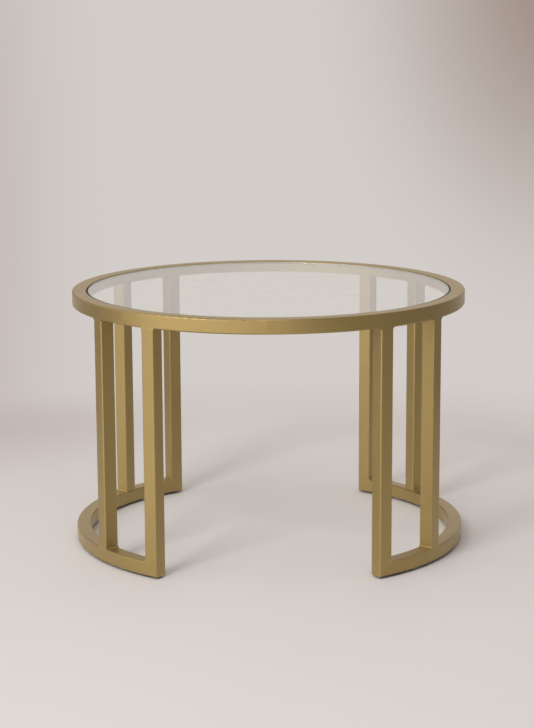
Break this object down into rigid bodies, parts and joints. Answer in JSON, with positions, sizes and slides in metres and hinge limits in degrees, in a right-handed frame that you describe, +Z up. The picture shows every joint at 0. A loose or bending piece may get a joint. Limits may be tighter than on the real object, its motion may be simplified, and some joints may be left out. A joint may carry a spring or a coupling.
{
  "type": "round coffee table",
  "caption": "Low round coffee table with a clear glass top set just inside the top of a square-tube ring, carried by paired uprights on open C-shaped base arcs.",
  "frame": {"origin": "on the floor, under the centre of the round top", "axes": "+Z up; -Y towards the open front between the two base arcs; +X to the right, towards the right base arc"},
  "size_m": [0.7, 0.7, 0.4535],
  "materials": {
    "frame": "satin brass-toned coat with a fine grain",
    "glass": "clear polished float glass with ground edges",
    "clear_pad": "clear soft plastic"
  },
  "bodies": {
    "frame": {"top_ring": "frame", "glass_seat_bar": "frame", "glass_pads": "clear_pad", "ring_welds": "frame", "left_base_arc": "frame", "right_base_arc": "frame", "left_base_welds": "frame", "right_base_welds": "frame", "left_front_end_upright": "frame", "left_front_inner_upright": "frame", "left_rear_inner_upright": "frame", "left_rear_end_upright": "frame", "right_front_end_upright": "frame", "right_front_inner_upright": "frame", "right_rear_inner_upright": "frame", "right_rear_end_upright": "frame", "left_front_floor_pad": "clear_pad", "left_rear_floor_pad": "clear_pad", "right_front_floor_pad": "clear_pad", "right_rear_floor_pad": "clear_pad"},
    "glass": {"glass_top": "glass"}
  },
  "joints": [
    {"name": "glass_lift", "type": "slide", "parent": "frame", "child": "glass", "axis": [0, 0, 1], "range_m": [0, 0.06]}
  ]
}
